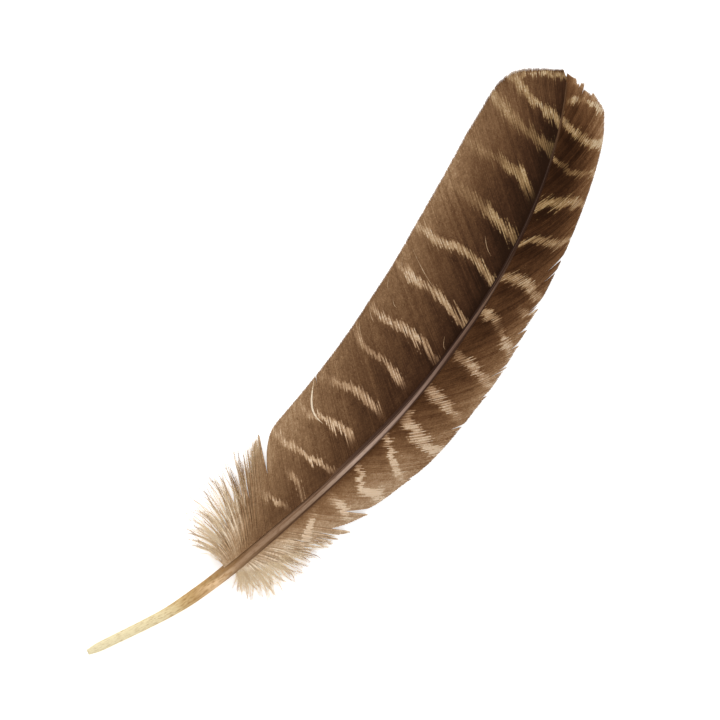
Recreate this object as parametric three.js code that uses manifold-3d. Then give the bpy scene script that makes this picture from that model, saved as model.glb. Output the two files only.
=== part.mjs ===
// A turkey wing feather, lying with its upper side up.
//
// It grew as one piece: a horny shaft (bare quill first, then the tapering rib), a wide inner vane
// and a narrow outer vane whose barbs lie together in flat locks, and loose downy locks where the
// vanes begin. Millimetres, +Z up. +Y runs from the quill's tip to the feather's tip, the inner
// vane is on the -X side, and the feather rests on z = 0 with its footprint centred on the origin.
//
// A place on the feather is given by two lengths: its station, which is how far along the shaft
// from the quill's tip it lies, and its reach, which is how far out from the shaft's middle line.
import * as THREE from "three";
import { mergeVertices } from "three/addons/utils/BufferGeometryUtils.js";
import Module from "manifold-3d";

const wasm = await Module();
wasm.setup();

// ---- driving dimensions -------------------------------------------------------------------

const SHAFT_LENGTH = 301;
const QUILL_TIP = [-19.14, -146.83]; // where the shaft starts, on the floor
const ARCH_HEIGHT = 8.5; // rise of the shaft's middle line between its two ends
const ARCH_SKEW = 0.85; // below 1 moves the top of the arch towards the quill
const CAMBER_POWER = 1.7; // how late each vane starts to drop towards its margin

// station, degrees that the shaft leans to the left of +Y
const LEAN = [
  [0, -25], [29, -23], [40, -17.9], [51, -14.4], [62, -12.1], [84, -9.9], [117, -7.7],
  [149, -3.7], [182, 2.2], [214, 8.7], [246, 15.7], [268, 21.6], [290, 29.7], [301, 34.8],
];

// station, half the shaft's width
const SHAFT_RADIUS = [
  [0, 1.1], [5, 1.8], [30, 2.1], [45, 2.5], [65, 2.7], [84, 2.6], [103, 2.3],
  [146, 1.75], [185, 1.4], [209, 1.1], [230, 0.85], [260, 0.65], [301, 0.35],
];
const SHAFT_CROWN = 0.8; // height of the shaft's back over its widest line, in radii
const SHAFT_KEEL = 1.1; // depth of its underside below that line, in radii
const SHAFT_SIDES = 12;
const SHAFT_STEP = 7;

// station, reach of the vane's margin
const INNER_MARGIN = [
  [60, 29], [95, 31], [117, 31.6], [138, 33.5], [160, 35.5], [182, 37.4], [203, 38.2],
  [225, 38.6], [247, 37.4], [268, 35.1], [279, 32.8], [290, 29.8], [299, 26], [302.5, 23],
  [304.5, 18], [305.8, 11], [306.4, 3], [306.6, 0],
];
const OUTER_MARGIN = [
  [60, 18], [84, 18.1], [106, 19], [127, 19.8], [149, 22], [171, 21.8], [193, 21.1],
  [214, 19.3], [236, 18.5], [258, 18.1], [279, 17.4], [291, 16.4], [294.5, 14],
  [297.6, 10.5], [300, 5.5], [302, 3], [303.5, 0],
];

// station of the barb's foot, degrees between the barb and the shaft at its foot and at its tip
const INNER_BARBS = {
  exit: [[66, 62], [90, 57], [120, 56], [185, 54], [244, 47], [271, 37], [287, 26], [297, 13], [301, 6]],
  tip: [[66, 52], [90, 44], [120, 39], [185, 34], [244, 27], [271, 20], [287, 12], [297, 6], [301, 3]],
};
const OUTER_BARBS = {
  exit: [[66, 62], [90, 52], [117, 44], [149, 37], [185, 32], [225, 29], [264, 25], [287, 18], [301, 6]],
  tip: [[66, 44], [90, 36], [117, 30], [149, 24], [185, 20], [225, 17], [264, 15], [287, 10], [301, 3]],
};

const VANE_THICKNESS = 0.8;
const LOCK_RIDGE = 0.45; // height of each lock's spine over the valleys beside it
const LOCK_RECESS = 0.03; // how much shorter a valley is than a spine, as a share of its reach
const VANE_ROOT = 0.2; // the sheets start this far from the middle line, inside the shaft
const INNER_LOCKS = { count: 27, from: 84, to: 300, steps: 8 };
const OUTER_LOCKS = { count: 25, from: 82, to: 300, steps: 6 };

// downy locks at the foot of each vane: the first and last foot, and for each foot its angles
// with the shaft at the foot and at the tip, and the reach of the tip
const INNER_DOWN = {
  count: 17, from: 64, to: 92,
  exit: [[64, 96], [68, 78], [76, 63], [92, 57]],
  tip: [[64, 118], [68, 98], [76, 66], [92, 46]],
  reach: [[64, 14], [66, 23], [69, 27.5], [74, 30], [82, 32], [92, 32.5]],
};
const OUTER_DOWN = {
  count: 13, from: 66, to: 90,
  exit: [[66, 92], [70, 76], [78, 62], [90, 54]],
  tip: [[66, 100], [70, 84], [78, 58], [90, 40]],
  reach: [[66, 15], [69, 20], [74, 20.5], [82, 22], [90, 21.5]],
};
const DOWN_WIDTH = 5.2;
const DOWN_THICKNESS = 1.5;
const DOWN_STEPS = 7;
const DOWN_LIFT = 1.1; // alternate locks lie this much higher

// splits through the vanes: side, margin end, blind end (station, reach), width at the margin
const SPLITS = [
  { side: -1, mouth: [112, 33], end: [101.8, 18], width: 2.6 },
  { side: 1, mouth: [122, 22], end: [109.6, 10.9], width: 2.4 },
];

const FEATHER_COLOUR = 0x6b5039;

// ---- curves -------------------------------------------------------------------------------

// A smooth curve through a table of [x, y] rows, held level past its ends.
function smooth(table, x) {
  const last = table.length - 1;
  if (x <= table[0][0]) return table[0][1];
  if (x >= table[last][0]) return table[last][1];
  const i = table.findIndex(([end]) => end > x) - 1;
  const slope = (k) => {
    const [a, b] = [Math.max(k - 1, 0), Math.min(k + 1, last)];
    return (table[b][1] - table[a][1]) / (table[b][0] - table[a][0]);
  };
  const [[x0, y0], [x1, y1]] = [table[i], table[i + 1]];
  const span = x1 - x0;
  const u = (x - x0) / span;
  const v = 1 - u;
  return y0 * v * v * (1 + 2 * u) + y1 * u * u * (1 + 2 * v)
    + span * u * v * (slope(i) * v - slope(i + 1) * u);
}

const radians = THREE.MathUtils.degToRad;

// the shaft's middle line in plan, one point for each millimetre
const middleLine = [new THREE.Vector2(...QUILL_TIP)];
for (let station = 1; station <= SHAFT_LENGTH + 10; station++) {
  const lean = radians(smooth(LEAN, station - 0.5));
  const step = new THREE.Vector2(-Math.sin(lean), Math.cos(lean));
  middleLine.push(middleLine[station - 1].clone().add(step));
}

function crest(station) {
  const share = Math.min(station / SHAFT_LENGTH, 1);
  return ARCH_HEIGHT * Math.sin(Math.PI * share ** ARCH_SKEW);
}

// The point of the floor under a place. Positive reach is to the right, on the outer vane.
function plan(station, reach) {
  const i = Math.min(Math.floor(station), middleLine.length - 2);
  const lean = radians(smooth(LEAN, station));
  return middleLine[i].clone().lerp(middleLine[i + 1], station - i)
    .add(new THREE.Vector2(Math.cos(lean), Math.sin(lean)).multiplyScalar(reach));
}

// Height of the middle of a vane: level with the shaft at its root, on the floor at its margin.
function vaneHeight(station, reach, margin) {
  const width = Math.max(smooth(margin, station), 1);
  const out = Math.min(Math.abs(reach) / width, 1);
  return VANE_THICKNESS / 2 + crest(station) * (1 - out ** CAMBER_POWER);
}

// The places along one barb, from the shaft out to its reach.
function barb(foot, exit, tip, reach, steps) {
  const places = [[foot, 0]];
  let station = foot;
  for (let i = 0; i < steps; i++) {
    const angle = radians(exit + (tip - exit) * (i + 0.5) / steps);
    station += reach / steps / Math.tan(angle);
    places.push([station, reach * (i + 1) / steps]);
  }
  return places;
}

// How far out a barb gets before it meets the margin.
function reachOf(foot, exit, tip, margin, steps) {
  let [low, high] = [0, 45];
  for (let i = 0; i < 30; i++) {
    const middle = (low + high) / 2;
    const [station] = barb(foot, exit, tip, middle, steps).at(-1);
    if (middle < smooth(margin, station)) low = middle;
    else high = middle;
  }
  return low;
}

// ---- solids -------------------------------------------------------------------------------

// A closed skin over a list of equal rings of points. A ring of one point closes it to a tip.
function loft(rings) {
  const points = rings.flat();
  const starts = [];
  rings.reduce((start, ring) => (starts.push(start), start + ring.length), 0);
  const faces = [];
  for (let i = 0; i < rings.length - 1; i++) {
    const [a, b] = [rings[i].length, rings[i + 1].length];
    const [p, q] = [starts[i], starts[i + 1]];
    for (let k = 0; k < Math.max(a, b); k++) {
      const [k0, k1] = [k, (k + 1) % Math.max(a, b)];
      if (a === 1) faces.push([p, q + k1, q + k0]);
      else if (b === 1) faces.push([p + k0, p + k1, q]);
      else faces.push([p + k0, p + k1, q + k1], [p + k0, q + k1, q + k0]);
    }
  }
  const cap = (start, count, flip) => {
    for (let k = 1; k < count - 1; k++) {
      faces.push(flip ? [start, start + k + 1, start + k] : [start, start + k, start + k + 1]);
    }
  };
  cap(starts[0], rings[0].length, true);
  cap(starts.at(-1), rings.at(-1).length, false);
  return solid(points, faces);
}

// A manifold from points and triangles, turned right side out.
function solid(points, faces) {
  const volume = faces.reduce((sum, [a, b, c]) =>
    sum + points[a].dot(points[b].clone().cross(points[c])), 0);
  const triVerts = faces.flatMap(([a, b, c]) => (volume > 0 ? [a, b, c] : [a, c, b]));
  return new wasm.Manifold(new wasm.Mesh({
    numProp: 3,
    vertProperties: new Float32Array(points.flatMap((p) => [p.x, p.y, p.z])),
    triVerts: new Uint32Array(triVerts),
  }));
}

function solidOf(geometry) {
  geometry.deleteAttribute("normal");
  geometry.deleteAttribute("uv");
  const merged = mergeVertices(geometry, 1e-4);
  return new wasm.Manifold(new wasm.Mesh({
    numProp: 3,
    vertProperties: new Float32Array(merged.attributes.position.array),
    triVerts: new Uint32Array(merged.index.array),
  }));
}

// The quill and the rib: round-backed and keeled below, lowest at its two ends.
function shaft() {
  const rings = [];
  const steps = Math.round(SHAFT_LENGTH / SHAFT_STEP);
  for (let i = 0; i <= steps; i++) {
    const station = SHAFT_LENGTH * i / steps;
    const radius = smooth(SHAFT_RADIUS, station);
    const height = Math.max(crest(station) + VANE_THICKNESS / 2, radius * SHAFT_KEEL);
    const ring = [];
    for (let k = 0; k < SHAFT_SIDES; k++) {
      const turn = 2 * Math.PI * (k + 0.5) / SHAFT_SIDES;
      const up = Math.sin(turn) * radius;
      const { x, y } = plan(station, Math.cos(turn) * radius);
      ring.push(new THREE.Vector3(x, y, height + up * (up > 0 ? SHAFT_CROWN : SHAFT_KEEL)));
    }
    const lowest = Math.min(...ring.map((p) => p.z));
    if (lowest < 0) ring.forEach((p) => { p.z -= lowest; });
    rings.push(ring);
  }
  return loft(rings);
}

// One vane: a thin sheet folded into locks, with a spine along each lock and a valley between.
function vane(side, locks, barbs, margin) {
  const lines = [];
  for (let i = 0; i <= 2 * locks.count; i++) {
    const foot = locks.from + (locks.to - locks.from) * i / (2 * locks.count);
    const [exit, tip] = [smooth(barbs.exit, foot), smooth(barbs.tip, foot)];
    const isSpine = i % 2 === 1;
    const full = reachOf(foot, exit, tip, margin, locks.steps);
    const reach = full * (isSpine ? 1 : 1 - LOCK_RECESS);
    lines.push(barb(foot, exit, tip, reach, locks.steps).map(([station, out], j) => {
      const { x, y } = plan(station, side * Math.max(out, VANE_ROOT));
      const middle = vaneHeight(station, out, margin);
      const ridge = isSpine ? LOCK_RIDGE * Math.min(j / 2, 1) : 0;
      const top = new THREE.Vector3(x, y, middle + VANE_THICKNESS / 2 + ridge);
      const bottom = new THREE.Vector3(x, y, middle - VANE_THICKNESS / 2);
      return [top, bottom];
    }));
  }
  const width = locks.steps + 1;
  const points = lines.flat(2);
  const at = (i, j, under) => 2 * (i * width + j) + under;
  const faces = [];
  const quad = (a, b, c, d) => faces.push([a, b, c], [a, c, d]);
  for (let i = 0; i < lines.length - 1; i++) {
    for (let j = 0; j < locks.steps; j++) {
      quad(at(i, j, 0), at(i + 1, j, 0), at(i + 1, j + 1, 0), at(i, j + 1, 0));
      quad(at(i, j, 1), at(i, j + 1, 1), at(i + 1, j + 1, 1), at(i + 1, j, 1));
    }
    quad(at(i, 0, 0), at(i, 0, 1), at(i + 1, 0, 1), at(i + 1, 0, 0));
    const j = locks.steps;
    quad(at(i, j, 0), at(i + 1, j, 0), at(i + 1, j, 1), at(i, j, 1));
  }
  for (let j = 0; j < locks.steps; j++) {
    quad(at(0, j, 0), at(0, j + 1, 0), at(0, j + 1, 1), at(0, j, 1));
    const i = lines.length - 1;
    quad(at(i, j, 0), at(i, j, 1), at(i, j + 1, 1), at(i, j + 1, 0));
  }
  return solid(points, faces);
}

// The downy locks of one side: flat tapering blades that fan out and back from the shaft.
function down(side, tuft, margin) {
  return Array.from({ length: tuft.count }, (_, n) => {
    const foot = tuft.from + (tuft.to - tuft.from) * n / (tuft.count - 1);
    const [exit, tip, reach] = [tuft.exit, tuft.tip, tuft.reach].map((t) => smooth(t, foot));
    const length = reach * (n % 3 === 1 ? 0.9 : 1);
    const places = barb(foot, exit, tip, length, DOWN_STEPS);
    const lift = n % 2 ? DOWN_LIFT : 0;
    const rings = places.map(([station, out], j) => {
      const share = j / DOWN_STEPS;
      const next = places[Math.min(j + 1, DOWN_STEPS)];
      const past = places[Math.max(j - 1, 0)];
      const ahead = plan(next[0], side * next[1]).sub(plan(past[0], side * past[1])).normalize();
      const across = new THREE.Vector2(-ahead.y, ahead.x);
      const full = Math.sin(Math.PI * (0.22 + 0.78 * share)) ** 0.7;
      const half = DOWN_WIDTH / 2 * full;
      const thick = DOWN_THICKNESS * full;
      const { x, y } = plan(station, side * Math.max(out, VANE_ROOT));
      const base = Math.max(vaneHeight(station, out, margin) - VANE_THICKNESS / 2, 0) + lift * share;
      if (j === DOWN_STEPS) return [new THREE.Vector3(x, y, base + 0.3)];
      return [
        new THREE.Vector3(x + across.x * half, y + across.y * half, base + thick * 0.3),
        new THREE.Vector3(x, y, base + thick),
        new THREE.Vector3(x - across.x * half, y - across.y * half, base + thick * 0.3),
        new THREE.Vector3(x, y, base),
      ];
    });
    return loft(rings);
  });
}

// A tall wedge that follows the barbs from the margin to the split's blind end.
function split({ side, mouth, end, width }) {
  const tall = 40;
  const [open, blind] = [plan(mouth[0], side * mouth[1]), plan(end[0], side * end[1])];
  const across = open.clone().sub(blind).normalize();
  across.set(-across.y, across.x).multiplyScalar(width / 2);
  const outline = new THREE.Shape([open.clone().add(across), blind, open.clone().sub(across)]);
  const wedge = new THREE.ExtrudeGeometry(outline, { depth: tall, bevelEnabled: false });
  wedge.translate(0, 0, -tall / 2);
  return solidOf(wedge);
}

// ---- the feather --------------------------------------------------------------------------

// The outer skin of a mesh, without the small pockets that crossing locks enclose.
function outerSkin({ vertProperties, triVerts }) {
  const shell = Array.from({ length: vertProperties.length / 3 }, (_, i) => i);
  const root = (i) => {
    while (shell[i] !== i) i = shell[i] = shell[shell[i]];
    return i;
  };
  for (let i = 0; i < triVerts.length; i += 3) {
    shell[root(triVerts[i])] = root(triVerts[i + 1]);
    shell[root(triVerts[i + 2])] = root(triVerts[i + 1]);
  }
  const sizes = new Map();
  triVerts.forEach((i) => sizes.set(root(i), (sizes.get(root(i)) ?? 0) + 1));
  const [outer] = [...sizes].reduce((a, b) => (b[1] > a[1] ? b : a));
  return triVerts.filter((i) => root(i) === outer);
}

function feather() {
  const grown = [
    vane(-1, INNER_LOCKS, INNER_BARBS, INNER_MARGIN),
    vane(1, OUTER_LOCKS, OUTER_BARBS, OUTER_MARGIN),
    ...down(-1, INNER_DOWN, INNER_MARGIN),
    ...down(1, OUTER_DOWN, OUTER_MARGIN),
  ];
  const whole = grown.reduce((fused, piece) => fused.add(piece), shaft());
  const frayed = SPLITS.reduce((left, cut) => left.subtract(split(cut)), whole);
  const mesh = frayed.getMesh();
  const geometry = new THREE.BufferGeometry();
  geometry.setAttribute("position", new THREE.BufferAttribute(mesh.vertProperties, 3));
  geometry.setIndex(new THREE.BufferAttribute(outerSkin(mesh), 1));
  geometry.computeVertexNormals();
  const material = new THREE.MeshStandardMaterial({
    color: FEATHER_COLOUR, roughness: 0.7, metalness: 0,
  });
  const node = new THREE.Mesh(geometry, material);
  node.name = "feather";
  return node;
}

const part = new THREE.Group();
part.add(feather());
export default part;
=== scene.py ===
import math
from dataclasses import dataclass

import bpy
import numpy as np
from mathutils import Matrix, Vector

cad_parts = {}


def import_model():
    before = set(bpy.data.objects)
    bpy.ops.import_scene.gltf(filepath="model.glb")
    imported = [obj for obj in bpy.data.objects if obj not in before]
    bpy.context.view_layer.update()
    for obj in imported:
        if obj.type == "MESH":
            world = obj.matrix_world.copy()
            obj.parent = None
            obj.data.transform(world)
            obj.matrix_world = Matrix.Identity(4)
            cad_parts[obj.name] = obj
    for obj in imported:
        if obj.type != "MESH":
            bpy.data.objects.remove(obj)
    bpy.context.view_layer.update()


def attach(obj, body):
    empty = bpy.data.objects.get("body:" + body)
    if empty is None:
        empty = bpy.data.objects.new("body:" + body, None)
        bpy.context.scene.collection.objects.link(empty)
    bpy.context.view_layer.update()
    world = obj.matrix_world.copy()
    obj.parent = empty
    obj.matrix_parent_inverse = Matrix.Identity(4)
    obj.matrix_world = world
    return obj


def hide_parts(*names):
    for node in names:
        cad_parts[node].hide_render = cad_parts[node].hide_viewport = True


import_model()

# A turkey wing feather, lying with its upper side up. It grew as one piece: a horny shaft, a wide
# inner vane at -X, a narrow outer vane at +X, and down where the vanes begin. The feather is laid
# out by rule: every barb is a guide line that leaves the shaft at its foot and runs out to the
# margin, and geometry nodes give the guide lines their webs and barbules.
#
# Lengths are millimetres here until a mesh is made. A place is a station, the distance along the
# shaft from the quill's tip, and a reach, the distance out from the shaft's middle line.

BODY = "root"
NODE = "feather"
MM = 0.001

# ---- the feather's measurements, as in the part ----

SHAFT_LENGTH = 301
QUILL_TIP = (-19.14, -146.83)
ARCH_HEIGHT = 8.5
ARCH_SKEW = 0.85
CAMBER_POWER = 1.7
VANE_LEVEL = 0.4  # how far the shaft's middle line and the vanes' roots are above the arch

LEAN = [(0, -25), (29, -23), (40, -17.9), (51, -14.4), (62, -12.1), (84, -9.9), (117, -7.7),
        (149, -3.7), (182, 2.2), (214, 8.7), (246, 15.7), (268, 21.6), (290, 29.7), (301, 34.8)]

SHAFT_RADIUS = [(0, 1.1), (5, 1.8), (30, 2.1), (45, 2.5), (65, 2.7), (84, 2.6), (103, 2.3),
                (146, 1.75), (185, 1.4), (209, 1.1), (230, 0.85), (260, 0.65), (301, 0.3)]
SHAFT_CROWN = 0.8
SHAFT_KEEL = 1.1

INNER_MARGIN = [(60, 29), (95, 31), (117, 31.6), (138, 33.5), (160, 35.5), (182, 37.4),
                (203, 38.2), (225, 38.6), (247, 37.4), (268, 35.1), (279, 32.8), (290, 30),
                (294.5, 28.4), (298.4, 26.6), (302.3, 23.4), (304.3, 19.9), (305.4, 15.4),
                (305.8, 10.7), (306, 4), (306.1, 0)]
OUTER_MARGIN = [(60, 18), (84, 18.1), (106, 19), (127, 19.8), (149, 22), (171, 21.8),
                (193, 21.1), (214, 19.3), (236, 18.5), (258, 18.1), (279, 17.8), (284.8, 17.4),
                (289, 16.6), (292.4, 15.9), (293.8, 15.0), (295.8, 12.8), (298.6, 10.2),
                (300.2, 7.2), (300.8, 4.4), (302.8, 3.5), (303.8, 1.4), (304.8, 0)]

# ---- what grows on it ----

# station of the foot, degrees between the barb and the shaft at the foot, and at the margin
INNER_EXIT = [(63.5, 80), (65, 74), (68, 66), (72, 58), (76, 55), (82, 57), (90, 62), (120, 63),
              (185, 60), (205, 56), (216, 52), (228, 46), (240, 43), (255, 39), (265, 35),
              (275, 29), (287, 20), (297, 10), (301, 5)]
INNER_TIP = [(63.5, 134), (65, 124), (66.5, 116), (68, 110), (70, 92), (72, 78), (75, 67),
             (80, 57), (88, 53), (120, 50), (150, 49), (170, 46), (198, 41), (215, 36), (225, 30),
             (235, 25), (250, 18), (265, 12), (280, 8), (297, 3), (301, 2)]
OUTER_EXIT = [(66.5, 112), (68, 102), (70, 86), (72, 70), (74, 60), (78, 52), (92, 52), (106, 51),
              (127, 47), (149, 43), (170, 39), (190, 34), (210, 34), (228, 36), (250, 35),
              (264, 30), (275, 23), (287, 15), (297, 8), (301, 4)]
OUTER_TIP = [(66.5, 130), (68, 120), (70, 108), (72, 96), (74, 84), (78, 70), (84, 60), (92, 54),
             (106, 44), (127, 37), (149, 31), (170, 27), (190, 22), (225, 21), (250, 20), (264, 16),
             (287, 9), (297, 4), (301, 2)]

# station of the foot, share of the barb that is flat web before it turns to down
INNER_WEB = [(63.5, 0.28), (66, 0.46), (71, 0.6), (76.5, 0.72), (82, 0.82), (88, 0.9),
             (89.6, 1.15), (97, 1.2)]
OUTER_WEB = [(66.5, 0.14), (70, 0.28), (75.5, 0.5), (81, 0.7), (87, 0.86), (93, 1.0), (97, 1.2)]

# station of the foot, longest reach of a barb that ends in down before the margin
INNER_DOWN_REACH = [(63.5, 14), (65, 19), (66.5, 24), (68, 27.5), (70, 30.5), (74, 32), (82, 32.5),
                    (89, 33.5), (96, 36), (110, 40)]
OUTER_DOWN_REACH = [(66.5, 7), (68, 11.5), (70, 16), (72, 19.5), (74, 22), (80, 24), (90, 23.5),
                    (104, 24)]

# splits: station of the foot, how far out it starts, how far it opens in degrees, its spread, and
# how much of the first barb above it is worn away
INNER_SPLITS = [(89.4, 0.46, 3.8, 1.5, 0.20), (85.4, 0.83, 2.6, 0.8, 0.12),
                (80.5, 0.85, 2.2, 1.0, 0.10)]
OUTER_SPLITS = [(103.0, 0.42, 4.2, 1.9, 0.06), (94.0, 0.6, 2.2, 2.6, 0.22),
                (88.0, 0.6, 2.4, 2.2, 0.24), (82.0, 0.55, 2.4, 2.2, 0.24),
                (77.0, 0.55, 2.4, 2.2, 0.22), (118, 0.86, 2.0, 0.7, 0.03),
                (152, 0.84, 2.2, 0.7, 0.03), (163, 0.82, 2.6, 0.8, 0.04),
                (171.5, 0.8, 3.0, 0.9, 0.05), (178, 0.78, 3.4, 0.9, 0.05),
                (184.5, 0.78, 3.6, 1.0, 0.06)]

# frayed stretches of the margin: station of the foot, spread, and how far the barbs part there
INNER_FRAYS = [(120, 8, 0.6)]
OUTER_FRAYS = [(204, 7, 1.5), (182, 8, 1.5), (162, 8, 1.2), (120, 6, 1.5), (140, 6, 1.2),
               (276, 8, 1.0)]

# Pale bars. A row is one bar: where it crosses the rib and a quarter, half, three quarters and
# the whole of the way out (stations), how plainly it shows there (0 to 1), and half its width.
INNER_BARS = [
    ((303, 304, 304.5, 304.2, 302.6), (0.5, 0.9, 0.85, 0.55, 0.35), 1.4),
    ((284.5, 289.7, 294.5, 299.5, 303), (0.7, 0.95, 0.6, 0.6, 0.45), 2.1),
    ((273.6, 276.6, 280.7, 287.2, 293), (0.45, 0.5, 0.38, 0.42, 0.4), 3.0),
    ((253.2, 260.5, 263.1, 265.3, 268), (0.1, 0.9, 0.4, 0.33, 0.2), 2.5),
    ((234.8, 239.5, 242.2, 245, 246.9), (0.45, 1.0, 0.36, 0.28, 0.1), 2.3),
    ((216.9, 220.8, 222.4, 220.4, 222.7), (0.81, 0.85, 0.68, 0.63, 0.36), 2.0),
    ((197, 199.7, 201.3, 200.9, 203.2), (0.72, 0.81, 0.68, 0.63, 0.2), 1.8),
    ((179.5, 181.4, 181.8, 179.8, 180.6), (0.3, 0.77, 0.81, 0.72, 0.2), 1.7),
    ((161.9, 164.2, 165.4, 164.6, 167.4), (-0.3, 0.75, 0.5, 0.45, 0.2), 1.5),
    ((147.9, 149.4, 149.4, 145.5, 144.7), (-0.3, 0.75, 0.66, 0.35, 0.2), 1.6),
    ((131.5, 134.8, 133, 128.8, 126.8), (-0.4, 0.8, 0.76, 0.35, 0.1), 1.6),
    ((121, 117.8, 115.5, 113.5, 114), (0.2, 0.8, 0.5, 0.41, 0.3), 1.3),
    ((104.2, 107.1, 106, 102.6, 101.1), (0.36, 0.54, 0.1, 0.0, 0.0), 1.1),
    ((97.4, 95.6, 93.6, 87.8, 85.9), (0.1, 0.6, 0.1, 0.0, 0.0), 1.1),
]
OUTER_BARS = [
    ((294, 294.4, 294.6, 293.8, 292.4), (0.1, 0.9, 0.2, 0.95, 0.6), 1.3),
    ((286, 283, 280.8, 280, 280.6), (0.7, 0.85, 0.6, 0.75, 0.85), 1.9),
    ((270.7, 268.8, 267.6, 269.2, 270.3), (0.9, 0.35, 0.45, 0.45, 0.6), 1.2),
    ((250, 254.7, 255.9, 257.5, 258.6), (1.0, 0.9, 0.6, 0.7, 0.5), 2.0),
    ((234.4, 239.5, 239.9, 241.1, 244.6), (1.0, 0.8, 0.6, 0.6, 0.55), 2.0),
    ((219.2, 222, 223.9, 220.8, 220), (0.6, 0.75, 0.9, 0.6, 0.4), 2.4),
    ((211.8, 211.8, 212.6, 213, 213.8), (0.0, 0.0, 0.0, 0.4, 0.7), 1.6),
    ((206, 205.6, 204, 199.7, 198), (0.6, 0.95, 0.2, 0.9, 0.3), 2.3),
    ((186.1, 185.4, 185.7, 184.5, 184.9), (0.4, 0.5, 1.0, 0.5, 0.3), 2.0),
    ((168.5, 168.5, 168.1, 168.1, 167.8), (0.4, 0.95, 0.85, 0.4, 0.1), 2.2),
    ((156, 153.7, 152.5, 152.2, 152.5), (0.2, 1.0, 1.0, 0.8, 0.6), 2.6),
    ((145.1, 142.4, 138.9, 136.9, 136.2), (0.4, 0.9, 1.0, 0.5, 0.1), 1.9),
    ((128, 127, 122.9, 125.6, 126.4), (0.3, 0.75, 0.85, 0.8, 0.1), 1.6),
    ((113, 112.6, 113.6, 112.4, 109.3), (0.1, 0.35, 0.9, 0.3, 0.0), 1.7),
    ((104.4, 101.4, 95, 91.7, 87.8), (0.0, 0.5, 1.0, -0.6, 0.0), 2.3),
]

HATCH = 1.35  # from one pale stroke of a bar to the next

# station, tone of the ground colour (0 dark to 1 pale) at the rib, halfway out and at the margin
INNER_TONE = [
    [(64, 0.76), (82, 0.38), (129, 0.20), (177, 0.12), (207, 0.04), (262, 0.02), (280, -0.05),
     (300, 0.12)],
    [(64, 1.02), (76, 0.95), (92, 0.58), (129, 0.43), (158, 0.28), (197, 0.32), (246, 0.25),
     (300, 0.36)],
    [(64, 1.05), (88, 0.82), (138, 0.62), (168, 0.51), (250, 0.65), (283, 0.50), (300, 0.44)],
]
OUTER_TONE = [
    [(62, 1.1), (80, 0.70), (103, 0.43), (138, 0.24), (197, 0.22), (265, 0.09), (300, 0.28)],
    [(66, 1.08), (88, 0.97), (103, 0.74), (138, 0.60), (158, 0.42), (217, 0.23), (275, 0.13),
     (300, 0.46)],
    [(66, 1.2), (88, 0.80), (103, 0.90), (158, 0.67), (190, 0.77), (238, 0.44), (290, 0.72),
     (300, 0.78)],
]

# loose pale barbs that lie on the inner vane: station and reach of both ends, half the width, and
# how far it bows towards the quill
STRAYS = [
    ((231.7, 12.5), (225.6, 6.8), 0.12, 0.9), ((212.4, 35.3), (201.8, 18.2), 0.13, 0.9),
    ((172.2, 35.2), (167.2, 29.8), 0.14, 0.9), ((117.6, 30.6), (112.4, 24.0), 0.16, 1.4),
    ((189.4, 30.6), (186.6, 26.8), 0.13, 0.9), ((181.0, 36.4), (175.6, 30.4), 0.14, 0.9),
    ((188.8, 5.4), (184.6, 2.2), 0.10, 0.9), ((140.4, 33.2), (130.0, 18.5), 0.42, 3.8),
    ((208.0, 36.8), (203.0, 34.4), 0.12, 0.9), ((196.0, 36.6), (190.8, 33.6), 0.12, 0.9),
]

# how single barbs vary; pairs with -1 and 1 are for the inner and the outer vane
SHALLOWEST = 1.5  # degrees, the least between a barb and the shaft
LONGEST_REACH = 45.0
TIP_LOSS = {-1: 0.3, 1: 0.0}
SPLIT_GAIN = {-1: 0.22, 1: 0.6}  # how much longer the barbs below a split are
LOOSE_LEAVE = 1.5  # degrees, spread of the angle at the foot in the down
LOOSE_END = 7  # the same at the end
BUNDLE_LEAN = 2.0  # degrees, how far a bundle leans aside in the down
DRAWN = 0.12  # how far loose barbs are drawn to the middle of their bundle
WAVE = 1.1  # how far the end of a loose barb waves
CLIMB_REACH = (0.4, 3.2)  # distance out over which a barb comes down from the shaft
LEAST_HEIGHT = 0.3
OVERLAP = 0.74  # half a web, as a share of the gap to the next barb
WEB_HALF = (0.12, 0.6)  # least and greatest half width of a web
DOWN_HALF = 0.26  # the same of a barb in the down, as a share of its web
JAG = (0.5, 0.32)  # how far a bar shifts from bundle to bundle, and from barb to barb
BAR_SHADE = 2.6  # how far the dark and the pale shade beside a bar reach
MARGIN_UNEVEN = {-1: 0.4, 1: 1.4}  # how much less even the tone is at the margin
STRAND_TONE = {-1: 0.28, 1: 0.2}  # how the tone varies between loose barbs
SHADOW = {-1: (-0.04, 0.18), 1: (0.07, -0.09)}  # depth beside the rib, low down and its growth
SHADOW_REACH = 1.3
DOWN_TOP = 98  # station of the highest barb with barbules on it
PAST_TIP = 26  # how far the middle line goes on past the shaft, for the vanes' tips

# pairs of stations between which something comes or goes
DOWN_LIMIT_ENDS = (92, 112)  # the down's own reach stops counting
CLIMB_ENDS = (100, 145)  # the barbs' feet come down the shaft's side
RIB_END = (290, 300)  # they close over the rib
TIP_WEAR = (294, 301)  # the vane's tip wears away
SHADED = (140, 200)  # the shadow beside the rib grows
SHADED_TO = (262, 284)  # and ends

# barbules: how their width tapers, and the least and greatest sway aside and rise (radians) and
# share of the full length
HAIR_TAPER = 0.75
HAIR_SWAY = (-0.3, 0.3)
HAIR_RISE = (-0.25, 0.45)
HAIR_LENGTHS = (0.45, 1.2)
LOWEST = 0.00002  # metres, the least height of anything above the floor

# ---- curves ----


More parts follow.
